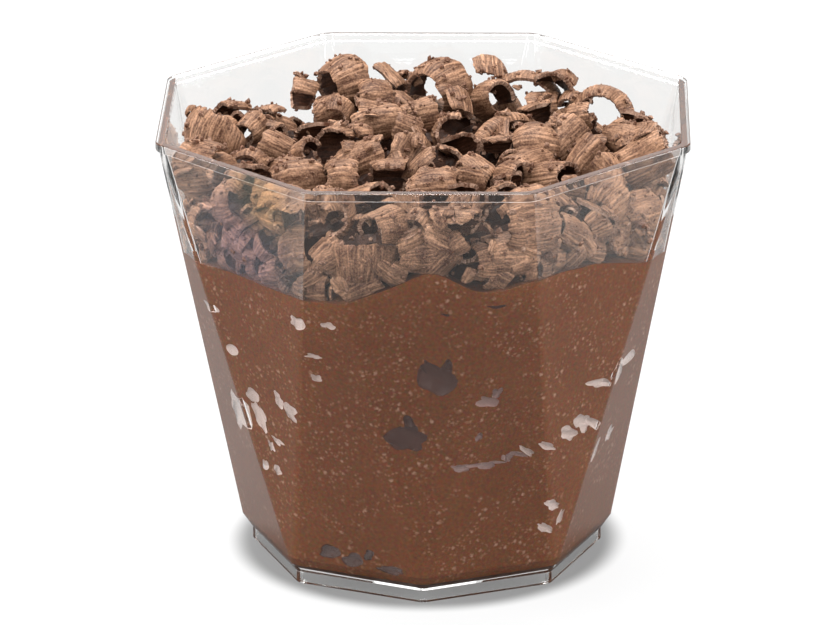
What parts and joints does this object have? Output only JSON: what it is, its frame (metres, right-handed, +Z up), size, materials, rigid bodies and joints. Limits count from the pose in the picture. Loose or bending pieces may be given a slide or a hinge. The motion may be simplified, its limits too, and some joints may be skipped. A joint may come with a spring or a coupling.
{
  "type": "chocolate mousse cup",
  "caption": "Chocolate mousse in a clear faceted plastic dessert cup with an octagonal rim, under a heap of shaved chocolate curls.",
  "frame": {"origin": "on the surface that the cup stands on, under the middle of its foot ring", "axes": "+Z is up through the middle of the cup; one flat side of the rim faces -Y and one corner of the base does; +X is to the right of someone who looks along +Y"},
  "size_m": [0.0814, 0.0814, 0.0707],
  "materials": {
    "cup_plastic": "clear injection-moulded polystyrene, glossy inside and out, bright at the rim band and the foot ring",
    "mousse": "milk-chocolate mousse, a matte brown aerated cream with fine pale pores",
    "chocolate_curls": "shaved milk chocolate, dull and dusty on its ridged outer face, darker inside the rolls"
  },
  "bodies": {
    "root": {"cup": "cup_plastic", "mousse": "mousse", "chocolate_curls": "chocolate_curls"}
  },
  "joints": []
}
